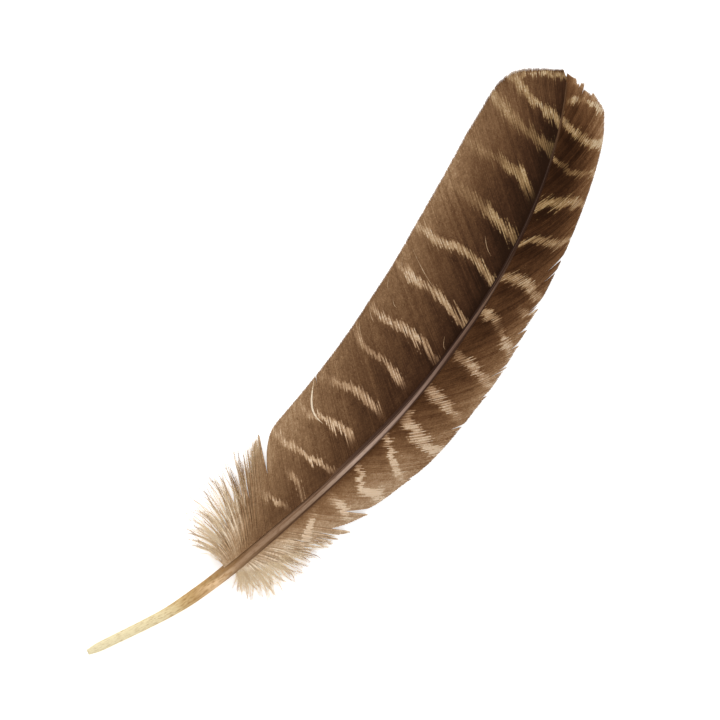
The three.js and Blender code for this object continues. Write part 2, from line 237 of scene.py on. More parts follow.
def smooth(table, x):
    """A smooth curve through a table of (x, y) rows, held level past its ends."""
    xs, ys = np.array(table, float).T
    x = np.clip(np.asarray(x, float), xs[0], xs[-1])
    i = np.clip(np.searchsorted(xs, x, side="right") - 1, 0, len(xs) - 2)
    low = np.maximum(np.arange(len(xs)) - 1, 0)
    high = np.minimum(np.arange(len(xs)) + 1, len(xs) - 1)
    slope = (ys[high] - ys[low]) / (xs[high] - xs[low])
    span = xs[i + 1] - xs[i]
    u = (x - xs[i]) / span
    v = 1 - u
    ends = ys[i] * v * v * (1 + 2 * u) + ys[i + 1] * u * u * (1 + 2 * v)
    return ends + span * u * v * (slope[i] * v - slope[i + 1] * u)


def ramp(low, high, x):
    """0 below low, 1 above high, and a smooth step between."""
    t = np.clip((np.asarray(x, float) - low) / (high - low), 0, 1)
    return t * t * (3 - 2 * t)


STATIONS = np.arange(SHAFT_LENGTH + PAST_TIP)
STEP_LEAN = np.radians(smooth(LEAN, STATIONS[1:] - 0.5))
MIDDLE_X = QUILL_TIP[0] + np.r_[0, np.cumsum(-np.sin(STEP_LEAN))]
MIDDLE_Y = QUILL_TIP[1] + np.r_[0, np.cumsum(np.cos(STEP_LEAN))]


def crest(station):
    """Height of the arch that the shaft's middle line follows."""
    share = np.clip(np.asarray(station, float) / SHAFT_LENGTH, 0, 1)
    return ARCH_HEIGHT * np.sin(np.pi * share ** ARCH_SKEW)


def place(station, reach, height):
    """Points in millimetres. Positive reach is to the right, on the outer vane."""
    lean = np.radians(smooth(LEAN, station))
    x = np.interp(station, STATIONS, MIDDLE_X) + np.cos(lean) * reach
    y = np.interp(station, STATIONS, MIDDLE_Y) + np.sin(lean) * reach
    return np.stack([x, y, np.broadcast_to(height, np.shape(x))], -1)


def vane_height(station, reach, margin):
    """Height of a vane's surface: level with the shaft at its root, on the floor at its margin."""
    width = np.maximum(smooth(margin, station), 1)
    out = np.minimum(np.abs(reach) / width, 1)
    return VANE_LEVEL + crest(station) * (1 - out ** CAMBER_POWER)


def drift(count, length, seed):
    """Numbers around 0 that drift over about length neighbours, with spread 1."""
    draw = np.random.default_rng(seed).normal(size=count // length + 4)
    return smooth(list(enumerate(draw)), np.linspace(0, count / length, count))


def bundles(count, fewest, most, seed):
    """The number of the bundle, a run of neighbours, that each barb is in."""
    sizes = np.random.default_rng(seed).integers(fewest, most + 1, count)
    return np.searchsorted(np.cumsum(sizes), np.arange(count), side="right")


def bundle_mean(group, numbers):
    """For each barb, the mean over its bundle."""
    total = np.zeros((group.max() + 1,) + numbers.shape[1:])
    np.add.at(total, group, numbers)
    size = np.bincount(group).reshape((-1,) + (1,) * (numbers.ndim - 1))
    return (total / size)[group]


def mesh_of(name, points, edges, faces, marks):
    """A mesh whose points carry named numbers."""
    mesh = bpy.data.meshes.new(name)
    mesh.from_pydata(points.reshape(-1, 3).tolist(), edges, faces)
    for key, numbers in marks.items():
        layer = mesh.attributes.new(key, "FLOAT", "POINT")
        layer.data.foreach_set("value", np.ascontiguousarray(numbers, np.float32).ravel())
    return mesh


def add_object(name, data):
    thing = bpy.data.objects.new(name, data)
    bpy.context.collection.objects.link(thing)
    return thing


# ---- guide lines ----


class Guides:
    """Rows of points, one row for each barb, with named numbers for each point."""

    def __init__(self, points, **values):
        self.points = points
        self.values = {k: np.broadcast_to(v, points.shape[:2]) for k, v in values.items()}

    def mesh(self, name):
        """A mesh of edges that holds the rows, in metres."""
        rows, steps = self.points.shape[:2]
        first = np.arange(rows)[:, None] * steps + np.arange(steps - 1)
        edges = np.stack([first, first + 1], -1).reshape(-1, 2)
        return mesh_of(name, self.points * MM, edges.tolist(), [], self.values)


def together(first, second):
    """Two layers of guide lines as one."""
    points = np.concatenate([first.points, second.points])
    values = {k: np.concatenate([v, second.values[k]]) for k, v in first.values.items()}
    return Guides(points, **values)


@dataclass
class Vane:
    """The rules for one side of the feather."""

    side: int  # -1 on the inner vane, 1 on the outer
    spacing: list  # between one foot and the next, from the lowest barb up
    steps: int  # pieces along a barb
    seed: int
    leave: list
    end: list
    margin: list
    web: list
    down_reach: list
    frays: list
    bars: list
    tones: list
    loosest: tuple  # stations between which loose barbs give way to close ones
    climb: float  # how far up the shaft's side the low barbs begin
    splits: list = ()
    last: float = SHAFT_LENGTH  # station of its highest barb
    below: float = 0.0  # how far this layer lies under the vane's surface


def walk(foot, leave, end, reach, steps, bend=0.0):
    """Stations along barbs that leave the shaft at one angle and meet the margin at another."""
    u = (np.arange(steps) + 0.5) / steps
    late = 0.8 + 0.8 * ramp(74, 96, foot)[:, None]
    angle = np.maximum(leave[:, None] + (end - leave)[:, None] * u ** late + bend, SHALLOWEST)
    move = reach[:, None] / steps / np.tan(np.radians(angle))
    return foot[:, None] + np.c_[np.zeros(len(foot)), np.cumsum(move, 1)]


def reach_of(foot, leave, end, vane):
    """How far out each barb gets before it meets the margin."""
    low, high = np.zeros(len(foot)), np.full(len(foot), LONGEST_REACH)
    for _ in range(30):
        middle = (low + high) / 2
        tip = walk(foot, leave, end, middle, vane.steps)[:, -1]
        inside = middle < smooth(vane.margin, tip)
        low, high = np.where(inside, middle, low), np.where(inside, high, middle)
    limit = smooth(vane.down_reach, foot) + 2 * LONGEST_REACH * ramp(*DOWN_LIMIT_ENDS, foot)
    return np.minimum(low, limit)


def parted(vane, foot, u):
    """Degrees by which barbs turn aside at the splits and along the frayed margin."""
    draw = np.random.default_rng(vane.seed + 3)
    bend = np.zeros((len(foot), len(u)))
    for at, start, opening, spread, _ in vane.splits:
        away = foot - at
        below = away < 0
        pull = np.where(below, 0.8, -0.8) * np.exp(-np.abs(away) / np.where(below, 1, 3) / spread)
        bend += 2.2 * opening * pull[:, None] * ramp(start, min(start + 0.3, 1), u)
    group = bundles(len(foot), 2, 6, vane.seed + 4)
    aside = draw.normal(size=len(foot))[group]
    for at, spread, opening in vane.frays:
        near = np.exp(-((foot - at) / spread) ** 2)
        bend += (opening * 2.5 * near * aside)[:, None] * ramp(0.72, 1, u)
    return bend


def worn(vane, foot):
    """Share of each barb that is left: less above a split and at the feather's tip, more below."""
    left = 1 - TIP_LOSS[vane.side] * ramp(*TIP_WEAR, foot)
    for at, _, _, spread, loss in vane.splits:
        above = foot > at
        near = np.exp(-np.abs(foot - at) / np.where(above, 1.6, 1.1) / spread)
        left -= loss * np.where(above, 1, -SPLIT_GAIN[vane.side]) * near
    return left


def cut_short(rows, left):
    """The first part of each row, as many points as before."""
    steps = rows.shape[1] - 1
    at = np.linspace(0, steps, steps + 1) * left[:, None]
    low = np.minimum(at.astype(int), steps - 1)
    line = np.arange(len(rows))[:, None]
    return rows[line, low] + (at - low) * (rows[line, low + 1] - rows[line, low])


def bar_field(vane, station, out):
    """Distance to the nearest pale bar in half widths, how plainly it shows, and its shade.

    Each bar is broken up: a bundle of barbs carries it a little higher or lower than the next.
    """
    draw = np.random.default_rng(vane.seed + 5)
    quarters = np.linspace(0, 1, 5)
    count = len(station)
    nearest = np.full(station.shape, 99.0)
    plain = np.zeros(station.shape)
    shade = np.zeros(station.shape)
    for stations, plainness, half in vane.bars:
        group = bundles(count, 2, 7, draw.integers(1 << 30))
        shift = JAG[0] * np.clip(draw.normal(size=count), -1.4, 1.4)[group]
        shift += JAG[1] * draw.normal(size=count)
        stretch = np.exp(0.2 * draw.normal(size=count)[group] + 0.15 * draw.normal(size=count))
        hatch = np.sin(2 * np.pi * station[:, 0] / HATCH + 2 * drift(count, 12, 9))
        stretch *= np.exp(0.22 * hatch)
        power = 0.88 + 0.18 * draw.normal(size=count)[group] + 0.14 * draw.normal(size=count)
        power += 0.42 * hatch
        line = np.interp(out, quarters, stations)
        shows = ramp(0.05, 0.9, np.interp(out, quarters, plainness))
        shows = shows * np.clip(power, 0.15, 1.25)[:, None]
        ahead = station + shift[:, None] - line
        away = np.abs(ahead) / (half * stretch[:, None])
        closer = away < nearest
        nearest = np.where(closer, away, nearest)
        plain = np.where(closer, shows, plain)
        shade -= shows * np.exp(-((ahead + half + BAR_SHADE) / BAR_SHADE) ** 2)
        shade += 0.5 * shows * np.exp(-((ahead - half - 3.0) / BAR_SHADE) ** 2)
    return np.minimum(nearest, 6), plain, shade


def tone_at(tables, station, out):
    """Tone of the ground colour from its three tables, by how far out the place is."""
    rib, middle, margin = (smooth(t, station) for t in tables)
    v = 1 - out
    return rib * v * (1 - 2 * out) + 4 * middle * out * v + margin * out * (2 * out - 1)


def running_length(points):
    """Length along each row up to each of its points."""
    steps = np.linalg.norm(np.diff(points, axis=1), axis=-1)
    return np.concatenate([np.zeros((len(points), 1)), np.cumsum(steps, 1)], 1)


def gaps(points):
    """Distance square across from each barb to the next, at each point."""
    ahead = np.diff(points, axis=1)
    ahead = np.concatenate([ahead, ahead[:, -1:]], 1)
    ahead /= np.linalg.norm(ahead, axis=-1, keepdims=True)
    step = np.diff(points, axis=0)
    along = (step * ahead[:-1]).sum(-1)
    gap = np.sqrt(np.maximum((step ** 2).sum(-1) - along ** 2, 1e-4))
    return np.concatenate([gap, gap[-1:]], 0)


def feet(vane):
    """Stations of the barbs' feet, closer together in the down."""
    spots = [vane.spacing[0][0]]
    while spots[-1] < vane.last - 0.5:
        spots.append(spots[-1] + float(smooth(vane.spacing, spots[-1])))
    return np.array(spots)


def barbs(vane):
    """The guide lines of one vane, from its lowest barb to the feather's tip."""
    draw = np.random.default_rng(vane.seed)
    foot = feet(vane)
    count = len(foot)
    spacing = np.gradient(foot)
    foot = foot + draw.uniform(-0.08, 0.08, count) * spacing
    loose = 1 - ramp(*vane.loosest, foot)
    looser = loose[:, None]

    # where it runs, which bundle it is drawn to and how it waves
    group = bundles(count, 3, 9, vane.seed + 1)
    lean = draw.normal(size=count)[group]
    leave = smooth(vane.leave, foot) + loose * draw.normal(0, LOOSE_LEAVE, count)
    end = smooth(vane.end, foot) + 0.5 * drift(count, 9, vane.seed + 2)
    end += loose * (BUNDLE_LEAN * lean + draw.normal(0, LOOSE_END, count))
    end = np.maximum(end, SHALLOWEST)
    full = reach_of(foot, leave, end, vane)
    full *= 1 + 0.4 * loose * (draw.random(count) - 0.68)
    left = worn(vane, foot) - np.abs(draw.normal(0, 0.003, count))
    middle = (np.arange(vane.steps) + 0.5) / vane.steps
    closed = cut_short(walk(foot, leave, end, full, vane.steps), left)
    station = walk(foot, leave, end, full, vane.steps, parted(vane, foot, middle))
    station = cut_short(station, left)
    full = full * left
    u = np.linspace(0, 1, vane.steps + 1)
    drawn = DRAWN * looser * ramp(66, 78, foot)[:, None] * ramp(0.74, 1.0, u)
    station += drawn * (bundle_mean(group, station) - station)
    phase = draw.uniform(0, 2 * np.pi, count)[:, None]
    waves = np.sin(phase + 5 * u * (0.6 + draw.random((count, 1))))
    station += WAVE * looser * u ** 2 * waves

    # how far out and how high it is: low barbs climb the shaft's side, loose ones stand up
    out_mm = full[:, None] * u
    out = np.clip(out_mm / np.maximum(smooth(vane.margin, station), 1), 0, 1)
    radius = smooth(SHAFT_RADIUS, foot)[:, None]
    climb = vane.climb * (1 - ramp(*CLIMB_ENDS, foot))[:, None]
    root = (0.45 + 0.3 * climb) * radius - 0.45 * ramp(*RIB_END, foot)[:, None]
    reach = vane.side * (root + out_mm * (1 - root / np.maximum(full[:, None], 1)))
    webbed = 1 - ramp(-0.14, 0.14, u - smooth(vane.web, foot)[:, None])
    raised = 0.05 * drift(count, 6, vane.seed + 6) + 0.03 * draw.normal(size=count)
    fluffed = 0.4 + 0.4 * lean + 0.9 * draw.random(count)
    lift = raised[:, None] * u + (1 - webbed) * looser * fluffed[:, None] * u
    lift = lift + climb * radius * (1 - ramp(*CLIMB_REACH, out_mm))
    height = np.maximum(vane_height(station, out_mm, vane.margin) + lift - vane.below, LEAST_HEIGHT)
    points = place(station, reach, height)

    # how wide its web is: most of the gap to its neighbour, and narrow where it is down
    widest = spacing * (1.05 + 1.5 * loose)
    between_barbs = gaps(place(closed, reach, 0.0))
    share = OVERLAP - (0.3 if vane.below <= 0 else 0) * looser * ramp(0.15, 0.5, u)
    half = np.clip(share * np.minimum(between_barbs, widest[:, None]), *WEB_HALF)
    half *= webbed + (1 - webbed) * DOWN_HALF
    half *= (1 - 0.6 * ramp(0.975, 1.0, u)) * (1 - 0.7 * looser * u ** 2)

    # its tone: the ground's, uneven from barb to barb, and shadowed beside the rib
    nearest, plain, shade = bar_field(vane, station, out)
    tone = tone_at(vane.tones, station, out) + 0.07 * shade
    pair = bundles(count, 1, 4, vane.seed + 7)
    uneven = 0.012 * draw.normal(size=count) + 0.014 * draw.normal(size=count)[pair]
    tone += uneven[:, None] * (1 + MARGIN_UNEVEN[vane.side] * out)
    strand = np.clip(draw.normal(size=count), -1.4, 1.4) * STRAND_TONE[vane.side]
    tone += looser * strand[:, None] * u + 0.15 * (1 - webbed) * u
    tone -= 0.26 * looser * ramp(0.62, 1.0, u)
    low, more = SHADOW[vane.side]
    dark = (low + more * ramp(*SHADED, foot)) * (1 - ramp(*SHADED_TO, foot))
    tone -= dark[:, None] * np.exp(-out_mm / SHADOW_REACH)
    return Guides(points, half_width=half * MM, tone=tone, bar_away=nearest, bar_plain=plain,
                  barb_random=draw.random(count)[:, None], out=out, run=running_length(points),
                  webbed=webbed, foot=foot[:, None], along=u[None, :])


def layer(rules, seed, lowest, spacing, last, below):
    """A thin layer of loose barbs in the down, with its spacing at the lowest barb and higher."""
    return barbs(Vane(seed=seed, spacing=[lowest, (80, spacing)], last=last, below=below, **rules))


def stray_barbs():
    """Loose barbs that lie on the inner vane, each a shallow arc, pointed at both ends."""
    u = np.linspace(0, 1, 15)[None, :]
    ends = np.array([[*a, *b, half, bow] for a, b, half, bow in STRAYS])[:, :, None]
    station = ends[:, 0] * (1 - u) + ends[:, 2] * u - ends[:, 5] * np.sin(np.pi * u)
    reach = ends[:, 1] * (1 - u) + ends[:, 3] * u
    height = vane_height(station, reach, INNER_MARGIN) + 0.22
    half = ends[:, 4] * np.sin(np.pi * (0.04 + 0.92 * u)) ** 0.6
    points = place(station, -reach, height)
    return Guides(points, half_width=half * MM, tone=0.6 + 1.2 * half, bar_away=6.0, bar_plain=0.0,
                  barb_random=np.linspace(0, 1, len(STRAYS))[:, None], out=reach / 40,
                  run=running_length(points), webbed=1.0, foot=station[:, :1], along=u)


def downy(guides):
    """The barbs that end in down, with how fluffy they are and how long their barbules."""
    low = guides.values["foot"][:, 0] < DOWN_TOP
    points = guides.points[low]
    kept = {k: v[low] for k, v in guides.values.items()}
    u = kept["along"]
    fluff = 0.3 + 0.7 * ramp(0.0, 0.5, 1 - kept["webbed"])
    hair = (0.4 + 0.6 * fluff) * (1.0 - 0.4 * u ** 2)
    tone = kept["tone"] - 0.01
    return Guides(points, fluff=fluff * (1.0 - 0.55 * u ** 2), hair_length=hair, tone=tone)


# ---- geometry nodes ----


def add(tree, kind, inputs=None, **settings):
    """A node with its settings. An input is a plain value or a socket to link."""
    node = tree.nodes.new(kind)
    for key, value in settings.items():
        setattr(node, key, value)
    for key, value in (inputs or {}).items():
        socket = node.inputs[key]
        if isinstance(value, bpy.types.NodeSocket):
            tree.links.new(value, socket)
        else:
            socket.default_value = value
    return node


def new_tree(name, **sizes):
    """A geometry node tree with one named number for each size, and a material."""
    tree = bpy.data.node_groups.new(name, "GeometryNodeTree")
    face = tree.interface
    face.new_socket("Geometry", in_out="INPUT", socket_type="NodeSocketGeometry")
    for key, value in sizes.items():
        kind = "NodeSocketInt" if isinstance(value, int) else "NodeSocketFloat"
        socket = face.new_socket(key.replace("_", " ").title(), in_out="INPUT", socket_type=kind)
        socket.default_value = value
    face.new_socket("Material", in_out="INPUT", socket_type="NodeSocketMaterial")
    face.new_socket("Geometry", in_out="OUTPUT", socket_type="NodeSocketGeometry")
    return tree, tree.nodes.new("NodeGroupInput").outputs


def shaped(tree, kind, inputs=None, **settings):
    """The first output of a new geometry node."""
    return add(tree, "GeometryNode" + kind, inputs, **settings).outputs[0]


def vector(tree, x=0.0, y=0.0, z=0.0):
    return add(tree, "ShaderNodeCombineXYZ", {"X": x, "Y": y, "Z": z}).outputs[0]


def spot_of(tree):
    """The outputs X, Y and Z with the place of each point."""
    return add(tree, "ShaderNodeSeparateXYZ", {"Vector": shaped(tree, "InputPosition")}).outputs


def end_tree(tree, geometry, material):
    """Realizes, keeps all above the floor, gives the material and smooth faces, and ends."""
    real = shaped(tree, "RealizeInstances", {"Geometry": geometry})
    spot = spot_of(tree)
    above = vector(tree, spot["X"], spot["Y"], maths(tree, "MAXIMUM", spot["Z"], LOWEST))
    moved = shaped(tree, "SetPosition", {"Geometry": real, "Position": above})
    soft = shaped(tree, "SetShadeSmooth", {0: moved})
    done = shaped(tree, "SetMaterial", {"Geometry": soft, "Material": material})
    tree.links.new(done, tree.nodes.new("NodeGroupOutput").inputs[0])


def number(tree, name):
    """A named number that the guide lines carry."""
    return shaped(tree, "InputNamedAttribute", {"Name": name}, data_type="FLOAT")


def maths(tree, operation, a, b=0.0, c=0.0):
    return add(tree, "ShaderNodeMath", {0: a, 1: b, 2: c}, operation=operation).outputs[0]


def times(tree, a, b):
    return maths(tree, "MULTIPLY", a, b)


def times_plus(tree, a, b, more):
    return maths(tree, "MULTIPLY_ADD", a, b, more)


def web_tree():
    """Guide lines become flat webs with a low ridge, tilted to lie on one another like tiles."""
    tree, given = new_tree("barb webs", thickness=0.34, sides=4, tilt=0.16)
    line = shaped(tree, "MeshToCurve", {"Mesh": given["Geometry"]})
    level = shaped(tree, "SetCurveNormal", {"Curve": line}, mode="Z_UP")
    tilted = shaped(tree, "SetCurveTilt", {"Curve": level, "Tilt": given["Tilt"]})
    ring = shaped(tree, "CurvePrimitiveCircle", {"Resolution": given["Sides"], "Radius": 1.0})
    squeeze = vector(tree, 1.0, given["Thickness"], 1.0)
    flat = shaped(tree, "Transform", {"Geometry": ring, "Scale": squeeze})
    spot = spot_of(tree)
    for name, axis in (("across", "X"), ("under", "Y")):
        flat = shaped(tree, "StoreNamedAttribute",
                      {"Geometry": flat, "Name": name, "Value": spot[axis]},
                      data_type="FLOAT", domain="POINT")
    skin = shaped(tree, "CurveToMesh",
                  {"Curve": tilted, "Profile Curve": flat, "Scale": number(tree, "half_width"),
                   "Fill Caps": True})
    end_tree(tree, skin, given["Material"])
    return tree


def down_tree():
    """Barbules along the guide lines: fine straight hairs that stand out on both sides."""
    tree, given = new_tree("down barbules", spacing=0.00014, length=0.0017, thickness=0.00004,
                           spread=0.42, seed=3)
    line = shaped(tree, "MeshToCurve", {"Mesh": given["Geometry"]})
    level = shaped(tree, "SetCurveNormal", {"Curve": line}, mode="Z_UP")
    arc = shaped(tree, "CurvePrimitiveLine", {"Start": (0, 0, 0), "End": (0, 0, 1)})
    ring = shaped(tree, "CurvePrimitiveCircle", {"Resolution": 3, "Radius": 1.0})
    step = add(tree, "GeometryNodeSplineParameter").outputs["Factor"]
    wide = times(tree, times_plus(tree, step, -HAIR_TAPER, 1.0), given["Thickness"])
    per_length = maths(tree, "DIVIDE", wide, given["Length"])
    hair = shaped(tree, "CurveToMesh",
                  {"Curve": arc, "Profile Curve": ring, "Scale": per_length, "Fill Caps": True})

    def random(low, high, offset):
        seed = maths(tree, "ADD", given["Seed"], offset)
        return add(tree, "FunctionNodeRandomValue", {2: low, 3: high, "Seed": seed},
                   data_type="FLOAT").outputs[1]

    both = tree.nodes.new("GeometryNodeJoinGeometry")
    for turn, seed in ((1.0, 0), (-1.0, 17)):
        spots = add(tree, "GeometryNodeCurveToPoints",
                    {"Curve": level, "Length": given["Spacing"]}, mode="LENGTH")
        keep = add(tree, "FunctionNodeCompare",
                   {0: number(tree, "fluff"), 1: random(0.0, 1.0, seed + 1)},
                   operation="GREATER_THAN", data_type="FLOAT")
        angle = maths(tree, "ADD", times(tree, given["Spread"], turn), random(*HAIR_SWAY, seed + 2))
        turned = spots.outputs["Rotation"]
        for axis, amount in (((1, 0, 0), random(*HAIR_RISE, seed + 3)), ((0, 1, 0), angle),
                             ((0, 0, 1), random(0.0, 6.28, seed + 4))):
            swing = add(tree, "FunctionNodeAxisAngleToRotation", {"Axis": axis, "Angle": amount})
            turned = add(tree, "FunctionNodeRotateRotation",
                         {"Rotation": turned, "Rotate By": swing.outputs[0]},
                         rotation_space="LOCAL").outputs[0]
        size = times(tree, random(*HAIR_LENGTHS, seed + 5), number(tree, "hair_length"))
        size = times(tree, size, given["Length"])
        hairs = shaped(tree, "InstanceOnPoints",
                       {"Points": spots.outputs[0], "Selection": keep.outputs[0],
                        "Instance": hair, "Rotation": turned, "Scale": size})
        tree.links.new(hairs, both.inputs[0])
    end_tree(tree, both.outputs[0], given["Material"])
    return tree


def grow(name, guides, tree, material, **sizes):
    """Runs a tree on guide lines and keeps the result as a plain mesh piece."""
    source = add_object(name + " guides", guides.mesh(name + " guides"))
    modifier = source.modifiers.new("grow", "NODES")
    modifier.node_group = tree
    given = {"material": material, **sizes}
    for item in tree.interface.items_tree:
        if item.in_out == "INPUT" and item.socket_type != "NodeSocketGeometry":
            key = item.name.lower().replace(" ", "_")
            modifier[item.identifier] = given.get(key, item.default_value)
    bpy.context.view_layer.update()
    graph = bpy.context.evaluated_depsgraph_get()
    ready = source.evaluated_get(graph)
    mesh = bpy.data.meshes.new_from_object(ready, preserve_all_data_layers=True, depsgraph=graph)
    source.modifiers.remove(modifier)
    bpy.data.objects.remove(source)
    mesh.name = name
    return finish_piece(name, mesh, material)


def finish_piece(name, mesh, material):
    """A piece of the feather, on the feather's body and in the feather's place."""
    piece = add_object(name, mesh)
    if not mesh.materials:
        mesh.materials.append(material)
    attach(piece, BODY)
    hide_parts(NODE)
    return piece


# ---- materials ----


def rgb(r, g, b):
    """A colour named by its 0 to 255 screen values."""

    def linear(v):
        v /= 255
        return v / 12.92 if v <= 0.04045 else ((v + 0.055) / 1.055) ** 2.4
    return (linear(r), linear(g), linear(b), 1.0)


# the pigment, from the darkest web at the rib to the palest fluff, redder on the outer vane
PIGMENT = [(0.0, (36, 20, 11)), (0.14, (64, 40, 25)), (0.33, (100, 70, 46)),
           (0.52, (134, 102, 72)), (0.69, (166, 134, 101)), (0.87, (198, 171, 140)),
           (1.0, (226, 206, 180))]
RED_PIGMENT = [(0.0, (36, 17, 6)), (0.14, (64, 38, 20)), (0.33, (102, 69, 43)),
               (0.52, (137, 102, 70)), (0.69, (168, 134, 101)), (0.87, (199, 171, 140)),
               (1.0, (226, 206, 180))]
FLUFF = [(0.0, (66, 42, 25)), (0.3, (118, 84, 52)), (0.6, (174, 138, 96)),
         (0.85, (222, 193, 151)), (1.0, (246, 226, 192))]

# the horn by station: along the crown, paler there with painted highlight, and on the shaft's
# flanks to the left and right of it, darker with painted shade
HORN_RIDGE = [
    (0, (226, 214, 176)), (33, (226, 210, 168)), (41, (206, 180, 132)), (47, (184, 150, 102)),
    (57, (224, 190, 148)), (68, (158, 127, 98)), (84, (142, 114, 90)), (108, (142, 116, 95)),
    (130, (172, 147, 131)), (156, (148, 123, 109)), (186, (94, 71, 59)), (212, (106, 82, 66)),
    (236, (54, 33, 21)), (266, (50, 29, 17)), (284, (80, 55, 34)), (301, (78, 52, 32)),
]
HORN_LEFT = [
    (0, (208, 194, 152)), (30, (212, 194, 148)), (44, (192, 160, 110)), (54, (178, 146, 100)),
    (62, (148, 116, 80)), (70, (118, 87, 56)), (84, (130, 101, 76)), (100, (116, 88, 66)),
    (112, (98, 71, 52)), (132, (70, 48, 35)), (162, (52, 31, 20)), (188, (44, 25, 15)),
    (266, (40, 23, 14)), (284, (82, 56, 35)), (301, (80, 54, 33)),
]
HORN_RIGHT = [
    (0, (208, 194, 152)), (44, (190, 162, 118)), (58, (176, 146, 112)), (70, (134, 105, 77)),
    (84, (112, 83, 58)), (108, (88, 60, 40)), (132, (76, 50, 33)), (162, (72, 48, 34)),
    (188, (64, 42, 29)), (266, (44, 25, 14)), (284, (84, 58, 36)), (301, (82, 56, 34)),
]

# the colour of the painted shade lines on the shaft
HORN_SHADE = (40, 22, 12)


def new_material(name, settings):
    """A material, its tree and its shader, with settings by the names of its sockets."""
    material = bpy.data.materials.new(name)
    material.use_nodes = True
    tree = material.node_tree
    shader = tree.nodes["Principled BSDF"]
    for key, setting in settings.items():
        shader.inputs[key].default_value = setting
    return material, tree, shader


def value(tree, name):
    return add(tree, "ShaderNodeAttribute", attribute_name=name).outputs["Fac"]


def colours(tree, factor, stops):
    """A ramp of colours."""
    node = add(tree, "ShaderNodeValToRGB", {"Fac": factor})
    while len(node.color_ramp.elements) < len(stops):
        node.color_ramp.elements.new(0.5)
    for element, (at, colour) in zip(node.color_ramp.elements, stops):
        element.position = at
        element.color = rgb(*colour)
    return node.outputs["Color"]


def blend(tree, factor, a, b, how="MIX"):
    return add(tree, "ShaderNodeMix", {0: factor, 6: a, 7: b}, data_type="RGBA",
               blend_type=how).outputs[2]


def between(tree, x, low, high):
    """0 to 1 as x goes from low to high, smoothly."""
    node = add(tree, "ShaderNodeMapRange", {"Value": x, "From Min": low, "From Max": high},
               interpolation_type="SMOOTHSTEP")
    return node.outputs["Result"]


def pulse(tree, x, middle, half):
    """1 where x is at the middle, falling to 0 a half width away."""
    away = maths(tree, "ABSOLUTE", maths(tree, "SUBTRACT", x, middle))
    return between(tree, away, half, 0.0)


def noise(tree, at, detail, rough=0.5, scale=1.0):
    """Soft noise around 0."""
    node = add(tree, "ShaderNodeTexNoise",
               {"Vector": at, "Scale": scale, "Detail": detail, "Roughness": rough})
    return maths(tree, "SUBTRACT", node.outputs["Fac"], 0.5)


def vane_material(name, pigment):
    """Brown web with pale bars, streaked barb by barb, and painted shade along each web's edges."""
    material, tree, shader = new_material(
        name, {"Roughness": 0.6, "Specular IOR Level": 0.08, "Specular Tint": rgb(235, 205, 175)})
    run = value(tree, "run")
    foot = value(tree, "foot")
    ground = value(tree, "tone")
    apart = times(tree, value(tree, "barb_random"), 40.0)
    streak = noise(tree, vector(tree, times(tree, run, 0.7), apart), 3.0, 0.6)
    cloud_at = vector(tree, times(tree, run, 0.22), times(tree, foot, 0.2))
    cloud = noise(tree, cloud_at, 5.0, 0.65)
    stroke = noise(tree, vector(tree, times(tree, run, 0.7), foot), 2.0)
    away = times_plus(tree, streak, 1.3, value(tree, "bar_away"))
    away = times_plus(tree, stroke, 1.4, away)
    bar = between(tree, away, 1.15, 0.4)
    bar = times(tree, bar, value(tree, "bar_plain"))
    bar = times(tree, bar, maths(tree, "ADD", cloud, 1.06))
    grain = times_plus(tree, value(tree, "out"), 0.36, 0.09)
    speck = noise(tree, vector(tree, times(tree, run, 2.2), apart, 7.0), 1.0)
    rough = times(tree, streak, grain)
    rough = times_plus(tree, speck, 0.26, rough)
    rough = times_plus(tree, stroke, 0.14, rough)
    rough = times_plus(tree, cloud, 0.26, rough)
    tone = times_plus(tree, rough, maths(tree, "ADD", ground, 0.55), ground)
    paler = times_plus(tree, speck, 0.5, 0.52)
    paler = times_plus(tree, streak, 0.9, paler)
    tone = times_plus(tree, bar, paler, tone)
    edge = maths(tree, "ABSOLUTE", value(tree, "across"))
    # painted shade: each web darker towards its edges, beside the next barb
    tone = times_plus(tree, between(tree, edge, 0.25, 1.0), -0.08, tone)
    colour = colours(tree, tone, pigment)
    tint = colours(tree, maths(tree, "DIVIDE", foot, SHAFT_LENGTH), [
        (0.36, (222, 186, 150)), (0.55, (188, 156, 126)), (0.8, (164, 140, 92))])
    colour = blend(tree, times(tree, bar, 0.4), colour, tint)
    under = times(tree, between(tree, value(tree, "under"), 0.02, 0.15), 0.4)
    colour = blend(tree, under, colour, rgb(156, 142, 126))
    tree.links.new(colour, shader.inputs["Base Color"])
    weave = maths(tree, "SINE", times_plus(tree, edge, 2.2, times(tree, run, 22.0)))
    bump = add(tree, "ShaderNodeBump", {"Strength": 0.2, "Distance": 0.00005, "Height": weave})
    tree.links.new(bump.outputs[0], shader.inputs["Normal"])
    return material


def down_material():
    """Buff fluff, browner towards the shaft."""
    material, tree, shader = new_material(
        "buff down", {"Roughness": 0.8, "Specular IOR Level": 0.08, "Sheen Weight": 0.15,
                      "Sheen Tint": rgb(240, 220, 195)})
    place_on = add(tree, "ShaderNodeTexCoord").outputs["Object"]
    tone = times_plus(tree, noise(tree, place_on, 2.0, scale=260.0), 0.35, value(tree, "tone"))
    tree.links.new(colours(tree, tone, FLUFF), shader.inputs["Base Color"])
    return material


